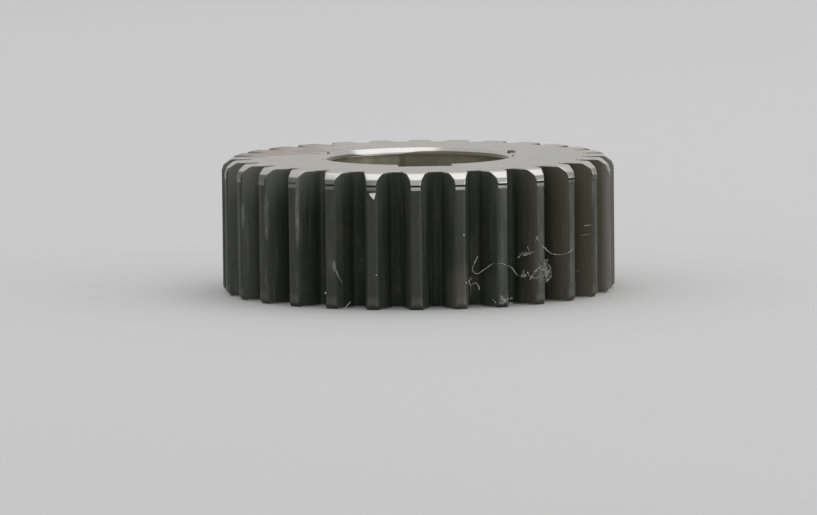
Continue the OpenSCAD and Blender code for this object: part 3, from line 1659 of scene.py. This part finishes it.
@dataclass(frozen=True)
class ChangeGear:
    """The whole gear, which stands for the CAD node."""

    ring: ToothRing
    hub: Hub
    nick: Nick
    weld: float = 0.002
    sharp_angle: float = 40.0

    def finishes(self) -> dict[Zone, bpy.types.Material]:
        """Build the gear's finishes.

        Returns:
            The material of each zone.
        """
        ring, blank = self.ring, self.ring.blank
        turned = TurnedSteel(blank.face_width, ring.knee_z, ring.mark_z, blank.bore_r)
        return {
            Zone.GROUND: GroundSteel(blank.face_width).material(),
            Zone.TURNED: turned.material(),
            Zone.HOBBED: HobbedSteel(blank.tip_r, ring.root_r, self.nick.rust_at()).material(),
            Zone.BORED: BoredSteel(blank.face_width).material(),
            Zone.BROACHED: BroachedSteel().material(),
        }

    def build(self) -> bpy.types.Object:
        """Set the teeth round the hub, strike the nick and place the piece on its body.

        Returns:
            The finished gear.
        """
        ring = self.ring
        tooth = add_object("tooth", ring.mesh())
        cutter = self.nick.cutter(BareSteelGlint().material())
        rough = add_object("rough_gear", self.hub.mesh())
        values = {
            "Tooth": tooth,
            "Teeth": ring.teeth,
            "Turn": ring.turn,
            "Weld": self.weld * MM,
            "Mark Way": ring.mark_way,
            "Mark Fade": ring.mark_fade,
        }
        grow(rough, ring.tree(self.finishes()), values)
        cut = rough.modifiers.new("nick", "BOOLEAN")
        cut.operation = "DIFFERENCE"
        cut.solver = "EXACT"
        cut.material_mode = "TRANSFER"
        cut.object = cutter
        mesh = plain_mesh(rough)
        mesh.set_sharp_from_angle(angle=math.radians(self.sharp_angle))
        sharp = add_object("sharp_gear", mesh)
        normals = sharp.modifiers.new("normals", "WEIGHTED_NORMAL")
        normals.keep_sharp = True
        gear = add_object("gear", plain_mesh(sharp))
        drop(tooth, cutter, rough, sharp)
        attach(gear, BODY)
        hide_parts(NODE)
        return gear


@dataclass(frozen=True)
class Tuft:
    """A heap of short fibres on a tooth: angle in degrees, then lengths in millimetres."""

    turn: float
    height: float
    depth: float
    fibres: int
    half_width: float
    half_height: float


@dataclass(frozen=True)
class Lint:
    """Dust fibres caught on the teeth. Routes are angles in degrees, then heights and depths."""

    ring: ToothRing
    fibre_r: float = 0.06
    sides: int = 6
    lift: float = 0.04
    step: float = 0.1
    grain: float = 0.8
    swell: float = 4.5
    shrink: float = 1.25
    least_w: float = 0.25
    routes: tuple[tuple[Place, ...], ...] = (
        ((14.0, 7.8, 1.4), (12.8, 6.6, 1.4), (12.3, 5.9, 1.4), (12.9, 5.3, 1.4), (14.2, 5.2, 1.4),
         (16.2, 5.8, 1.4), (18.7, 6.6, 1.0), (20.0, 6.7, 0.0), (21.4, 6.5, 0.0), (25.1, 5.8, 1.4),
         (26.9, 4.7, 1.4), (28.5, 4.4, 1.4), (30.0, 4.4, 1.4)),
        ((27.4, 7.2, 1.4), (29.2, 7.8, 1.4), (31.1, 7.6, 1.4), (32.0, 8.1, 0.5)),
        ((30.8, 8.8, 1.4), (31.4, 8.0, 1.2), (31.8, 7.9, 0.8)),
        ((32.4, 10.4, 0.1), (32.7, 9.8, 0.0), (34.1, 8.9, 0.0), (35.6, 8.4, 0.0)),
        ((32.1, 9.9, 0.4), (32.6, 9.4, 0.0), (33.2, 8.8, 0.0)),
        ((35.5, 8.3, 0.0), (37.9, 7.8, 0.7), (40.3, 7.4, 1.4), (43.4, 7.1, 1.4), (44.8, 7.2, 0.6),
         (45.4, 7.6, 0.0), (46.7, 7.9, 0.0)),
        ((12.2, 4.6, 1.4), (11.2, 4.1, 1.4), (11.6, 3.4, 1.4), (11.7, 1.8, 1.4)),
        ((11.5, 3.3, 1.4), (13.1, 3.8, 1.4), (14.2, 3.3, 1.4), (14.4, 2.7, 1.4)),
        ((32.0, 5.0, 0.6), (32.5, 5.5, 0.0), (34.1, 5.9, 0.0), (35.6, 6.3, 0.0), (37.0, 5.7, 0.0),
         (37.3, 5.2, 0.0), (36.0, 4.9, 0.0), (34.4, 5.4, 0.0)),
        ((35.5, 5.0, 0.0), (37.2, 4.8, 0.0), (37.8, 4.1, 0.3), (36.8, 3.6, 0.3), (35.6, 3.4, 0.2)),
        ((31.0, 4.6, 1.4), (31.6, 4.2, 1.0), (32.3, 4.1, 0.3), (33.1, 4.4, 0.0)),
        ((31.4, 3.8, 1.2), (31.9, 4.6, 0.7), (32.4, 5.2, 0.2)),
        ((-27.5, 0.1, 1.4), (-26.5, 0.2, 1.4), (-25.9, 0.6, 1.4), (-24.9, 1.1, 1.4)),
        ((-28.95, 7.3, 0.05), (-28.65, 6.0, 0.26), (-28.2, 4.9, 0.7), (-27.6, 3.9, 1.35)),
        ((56.56, 9.4, 1.76), (56.98, 9.5, 1.25), (57.42, 9.6, 0.77)),
        ((57.2, 10.9, 1.0), (57.55, 11.0, 0.64), (57.74, 11.0, 0.44)),
    )
    tufts: tuple[Tuft, ...] = (
        Tuft(34.7, 5.7, 0.0, 66, 0.44, 0.36),
        Tuft(36.2, 4.6, 0.1, 30, 0.28, 0.3),
        Tuft(30.6, 4.45, 2.2, 34, 0.35, 0.3),
        Tuft(30.2, 7.8, 1.2, 26, 0.6, 0.15),
        Tuft(21.2, 1.1, 0.0, 30, 0.35, 0.25),
    )
    # The tufts' fibres: points, step, curl, unevenness and width.
    tuft_points: int = 6
    tuft_step: float = 0.13
    tuft_curl: float = 1.0
    tuft_stray: float = 0.3
    tuft_lift: float = 0.2
    tuft_least_z: float = 0.2
    tuft_w: float = 0.55
    seed: int = 7

    def tuft_routes(self) -> list[list[Vector]]:
        """Curled routes of the fibres in the tufts.

        Returns:
            The route of each fibre, in metres.
        """
        pick = random.Random(self.seed)
        made = []
        for tuft in self.tufts:
            flat = min(1.0, tuft.half_height / tuft.half_width)
            for _ in range(tuft.fibres):
                way = pick.uniform(0, math.tau)
                curl = pick.uniform(-self.tuft_curl, self.tuft_curl)
                across, up = pick.gauss(0, tuft.half_width), pick.gauss(0, tuft.half_height)
                route = []
                for _ in range(self.tuft_points):
                    turn = tuft.turn + math.degrees(across / self.ring.blank.tip_r)
                    height = max(self.tuft_least_z, tuft.height + up)
                    lift = self.lift + pick.uniform(0.0, self.tuft_lift)
                    route.append(self.ring.spot(turn, height, tuft.depth - lift))
                    way += curl + pick.uniform(-self.tuft_stray, self.tuft_stray)
                    across += math.cos(way) * self.tuft_step
                    up += math.sin(way) * self.tuft_step * flat
                made.append(route)
        return made

    def tree(self, finish: bpy.types.Material) -> bpy.types.NodeTree:
        """Build the node tree that turns routes into uneven fibres.

        Args:
            finish: material of the fibres.

        Returns:
            A tree with the inputs Radius, Sides, Step, Grain, Swell, Shrink and Least.
        """
        inputs = {
            "Radius": Kind.NUMBER,
            "Sides": Kind.COUNT,
            "Step": Kind.NUMBER,
            "Grain": Kind.NUMBER,
            "Swell": Kind.NUMBER,
            "Shrink": Kind.NUMBER,
            "Least": Kind.NUMBER,
        }
        sheet = ShapeTree("fibres", "Routes", inputs, "Fibres")
        given = sheet.given
        line = sheet.out("GeometryNodeMeshToCurve", {"Mesh": given["Routes"]})
        smooth = sheet.out("GeometryNodeCurveSplineType", {"Curve": line}, spline_type="CATMULL_ROM")
        even = sheet.out(
            "GeometryNodeResampleCurve", {"Curve": smooth, "Length": given["Step"]}, mode="LENGTH"
        )
        ring = sheet.out(
            "GeometryNodeCurvePrimitiveCircle",
            {"Resolution": given["Sides"], "Radius": given["Radius"]},
        )
        lumps = sheet.out("ShaderNodeTexNoise", {"Scale": given["Grain"]})
        width = sheet.maths("MULTIPLY", lumps, given["Swell"])
        width = sheet.maths("SUBTRACT", width, given["Shrink"])
        width = sheet.maths("MAXIMUM", width, given["Least"])
        width = sheet.maths("MULTIPLY", width, sheet.carried(SIZE))
        tube = sheet.out(
            "GeometryNodeCurveToMesh",
            {"Curve": even, "Profile Curve": ring, "Scale": width, "Fill Caps": True},
        )
        return sheet.ended(sheet.dressed(sheet.real(tube), finish))

    def build(self) -> bpy.types.Object:
        """Lay the fibres on the teeth.

        Returns:
            The finished lint.
        """
        routes = [
            [self.ring.spot(turn, height, depth - self.lift) for turn, height, depth in route]
            for route in self.routes
        ]
        sizes = [1.0] * sum(len(route) for route in routes)
        routes += self.tuft_routes()
        points, edges = [], []
        for route in routes:
            edges += [(len(points) + i, len(points) + i + 1) for i in range(len(route) - 1)]
            points += route
        sizes += [self.tuft_w] * (len(points) - len(sizes))
        mesh = raw_mesh("routes", points, edges)
        store(mesh, SIZE, sizes)
        values = {
            "Radius": self.fibre_r * MM,
            "Sides": self.sides,
            "Step": self.step * MM,
            "Grain": self.grain / MM,
            "Swell": self.swell,
            "Shrink": self.shrink,
            "Least": self.least_w,
        }
        return grown_dust("lint", mesh, self.tree(LINT.material()), values)


@dataclass(frozen=True)
class Crumbs:
    """Small grains that stick to the gear."""

    name: str
    finish: DustFinish
    seed: int = 3
    detail: int = 2
    bulge: float = 0.5
    lumps: float = 2.2

    def tree(self, finish: bpy.types.Material) -> bpy.types.NodeTree:
        """Build the node tree that puts an uneven grain on each point.

        Args:
            finish: material of the grains.

        Returns:
            A tree with the inputs Detail, Seed, Bulge and Lumps.
        """
        inputs = {
            "Detail": Kind.COUNT, "Seed": Kind.COUNT, "Bulge": Kind.NUMBER, "Lumps": Kind.NUMBER
        }
        sheet = ShapeTree("crumbs", "Spots", inputs, "Grains")
        given = sheet.given
        spots = sheet.out("GeometryNodeMeshToPoints", {"Mesh": given["Spots"]})
        # The ball is 1 across, so that a grain's size scales it to its width.
        ball = sheet.out(
            "GeometryNodeMeshIcoSphere", {"Radius": 0.5, "Subdivisions": given["Detail"]}
        )
        lumps = sheet.node("ShaderNodeTexNoise", {"Scale": given["Lumps"], "Detail": 1.0})
        push = sheet.vector("SUBTRACT", {0: lumps.outputs["Color"], 1: (0.5, 0.5, 0.5)})
        push = sheet.vector("SCALE", {0: push, "Scale": given["Bulge"]})
        lumpy = sheet.out("GeometryNodeSetPosition", {"Geometry": ball, "Offset": push})
        smooth = sheet.out("GeometryNodeSetShadeSmooth", {"Geometry": lumpy})
        turn = sheet.out(
            "FunctionNodeRandomValue",
            {"Seed": given["Seed"], 0: (0.0, 0.0, 0.0), 1: (math.tau, math.tau, math.tau)},
            data_type="FLOAT_VECTOR",
        )
        grains = sheet.copies(spots, smooth, turn, sheet.carried(SIZE))
        return sheet.ended(sheet.dressed(sheet.real(grains), finish))

    def build(self, spots: list[tuple[Vector, float]]) -> bpy.types.Object:
        """Put the grains on the gear.

        Args:
            spots: place in metres and size in millimetres of each grain.

        Returns:
            The finished grains.
        """
        mesh = raw_mesh(self.name, [place for place, _ in spots])
        store(mesh, SIZE, [size * MM for _, size in spots])
        values = {
            "Detail": self.detail, "Seed": self.seed, "Bulge": self.bulge, "Lumps": self.lumps
        }
        return grown_dust(self.name, mesh, self.tree(self.finish.material()), values)


@dataclass(frozen=True)
class Grain:
    """A grain on a tooth: angle in degrees, then lengths in millimetres."""

    turn: float
    height: float
    depth: float
    size: float


@dataclass(frozen=True)
class Dust:
    """Where grains stick: on the teeth, and on the upper face by x, y and size in millimetres."""

    ring: ToothRing
    on_teeth: tuple[Grain, ...] = (
        Grain(21.3, 1.1, 0.0, 0.50),
        Grain(20.3, 1.7, 0.0, 0.28),
        Grain(22.3, 1.3, 0.0, 0.26),
        Grain(19.0, 0.8, 0.7, 0.28),
        Grain(18.6, 1.1, 1.1, 0.22),
        Grain(22.4, 1.8, 0.12, 0.18),
        Grain(30.8, 4.4, 1.9, 0.45),
        Grain(31.1, 4.8, 1.5, 0.35),
        Grain(32.4, 4.1, 0.2, 0.25),
        Grain(35.4, 4.4, 0.0, 0.28),
        Grain(35.4, 6.0, 0.0, 0.25),
        Grain(32.5, 10.0, 0.1, 0.30),
        Grain(9.1, 11.2, 0.0, 0.36),
        Grain(9.6, 4.0, 0.0, 0.30),
        Grain(-31.8, 2.4, 0.06, 0.38),
        Grain(56.2, 4.0, 2.3, 0.25),
        Grain(47.9, 2.6, 0.0, 0.18),
        Grain(-16.2, 5.3, 0.08, 0.22),
        Grain(57.05, 10.9, 1.2, 0.25),
    )
    on_face: tuple[Place, ...] = (
        (-13.25, 6.95, 0.50), (14.4, 4.0, 0.70), (14.8, 4.1, 0.75), (15.2, 4.0, 0.50)
    )

    def build(self) -> list[bpy.types.Object]:
        """Put pale grains on the teeth and dark ones on the upper face.

        Returns:
            The two pieces.
        """
        ring = self.ring
        pale = [(ring.spot(spot.turn, spot.height, spot.depth), spot.size) for spot in self.on_teeth]
        dark = [(Vector((x, y, ring.blank.face_width)) * MM, size) for x, y, size in self.on_face]
        return [Crumbs("pale_crumbs", FLUFF).build(pale), Crumbs("dark_crumbs", GRIT).build(dark)]


@dataclass(frozen=True)
class PhotoCamera:
    """Camera at the photograph's viewing angle. Millimetres and degrees, with the image in pixels."""

    azimuth: float = -3.95
    elevation: float = 6.13
    roll: float = 0.6
    distance: float = 1200.0
    focal_px: float = 7828.0
    image_w: float = 817.0
    sensor_w: float = 36.0
    aim_right: float = -1.56
    aim_up: float = 4.87
    clip: Point = (100.0, 20000.0)

    def build(self) -> bpy.types.Object:
        """Make the camera and give it to the scene.

        Returns:
            The camera.
        """
        turn, rise = math.radians(self.azimuth), math.radians(self.elevation)
        right = Vector((math.cos(turn), math.sin(turn), 0.0))
        back = Vector(
            (math.sin(turn) * math.cos(rise), -math.cos(turn) * math.cos(rise), math.sin(rise))
        )
        up = back.cross(right)
        eye = back * self.distance * MM
        aim = (right * self.aim_right + up * self.aim_up) * MM
        lens = bpy.data.cameras.new("camera")
        lens.sensor_fit = "HORIZONTAL"
        lens.sensor_width = self.sensor_w
        lens.lens = self.focal_px * self.sensor_w / self.image_w
        lens.clip_start, lens.clip_end = (length * MM for length in self.clip)
        camera = add_object("camera", lens)
        level = (aim - eye).to_track_quat("-Z", "Y").to_matrix().to_4x4()
        rolled = Matrix.Rotation(math.radians(-self.roll), 4, "Z")
        camera.matrix_world = Matrix.Translation(eye) @ level @ rolled
        bpy.context.scene.camera = camera
        return camera


@dataclass(frozen=True)
class SoftPanel:
    """A soft lamp that faces a place. Lengths are in metres, its spin is in degrees."""

    name: str
    place: Place
    aim: Place
    size: Point
    watts: float
    spin: float = 0.0

    def build(self) -> bpy.types.Object:
        """Hang the lamp.

        Returns:
            The lamp.
        """
        data = bpy.data.lights.new(self.name, "AREA")
        data.shape = "RECTANGLE"
        data.size, data.size_y = self.size
        data.energy = self.watts
        lamp = add_object(self.name, data)
        lamp.location = self.place
        facing = (Vector(self.aim) - Vector(self.place)).to_track_quat("-Z", "Y").to_matrix()
        spun = Matrix.Rotation(math.radians(self.spin), 3, "Z")
        lamp.rotation_euler = (facing @ spun).to_euler()
        return lamp


@dataclass(frozen=True)
class Studio:
    """Pale floor, pale surroundings and soft light. Lengths are in metres."""

    floor_half: float = 3.0
    pale: float = 0.61
    world_light: float = 0.72
    panels: tuple[SoftPanel, ...] = (
        SoftPanel("panel", (0.25, 0.27, 1.0), (0.25, 0.27, 0.0), (1.1, 1.1), 2.8, 15.0),
        SoftPanel("side", (0.92, -0.4, 0.16), (0.0, 0.0, 0.0), (1.0, 0.3), 1.6),
    )

    def floor(self) -> bpy.types.Object:
        """Lay the floor under the gear.

        Returns:
            The floor.
        """
        half = self.floor_half
        corners = [(-half, -half, 0), (half, -half, 0), (half, half, 0), (-half, half, 0)]
        mesh = raw_mesh("floor", corners, faces=[(0, 1, 2, 3)])
        mesh.materials.append(PaleFloor().material())
        floor = add_object("floor", mesh)
        return floor

    def world(self) -> bpy.types.World:
        """Light the scene evenly and show a pale background, to metal as well.

        Returns:
            The world.
        """
        world = bpy.data.worlds.new("studio")
        world.use_nodes = True
        sheet = NodeSheet(world.node_tree)
        sheet.tree.nodes.clear()
        ray = sheet.node("ShaderNodeLightPath").outputs
        seen = sheet.maths("MAXIMUM", ray["Is Camera Ray"], ray["Is Glossy Ray"])
        seen = sheet.maths("MAXIMUM", seen, ray["Is Transmission Ray"])
        light = sheet.out("ShaderNodeBackground", {0: WHITE, 1: self.world_light})
        pale = sheet.out("ShaderNodeBackground", {0: WHITE, 1: self.pale})
        both = sheet.out("ShaderNodeMixShader", {0: seen, 1: light, 2: pale})
        sheet.node("ShaderNodeOutputWorld", {0: both})
        bpy.context.scene.world = world
        return world

    def build(self) -> list[bpy.types.Object]:
        """Set up the world, the floor and the lamps.

        Returns:
            The floor and the lamps.
        """
        bpy.context.scene.view_settings.view_transform = "Standard"
        self.world()
        return [self.floor(), *(panel.build() for panel in self.panels)]


def main() -> None:
    """Build the camera, the studio, the gear and its dust, in that order."""
    logging.basicConfig(level=logging.INFO, format="%(name)s: %(message)s")
    log.info("camera %s", PhotoCamera().build().name)
    for item in Studio().build():
        log.info("studio %s", item.name)
    ring = ToothRing(Blank.from_frame())
    gear = ChangeGear(ring, Hub(ring), Nick(ring)).build()
    for piece in (gear, Lint(ring).build(), *Dust(ring).build()):
        log.info("%s: %d faces", piece.name, len(piece.data.polygons))


if __name__ == "__main__":
    main()
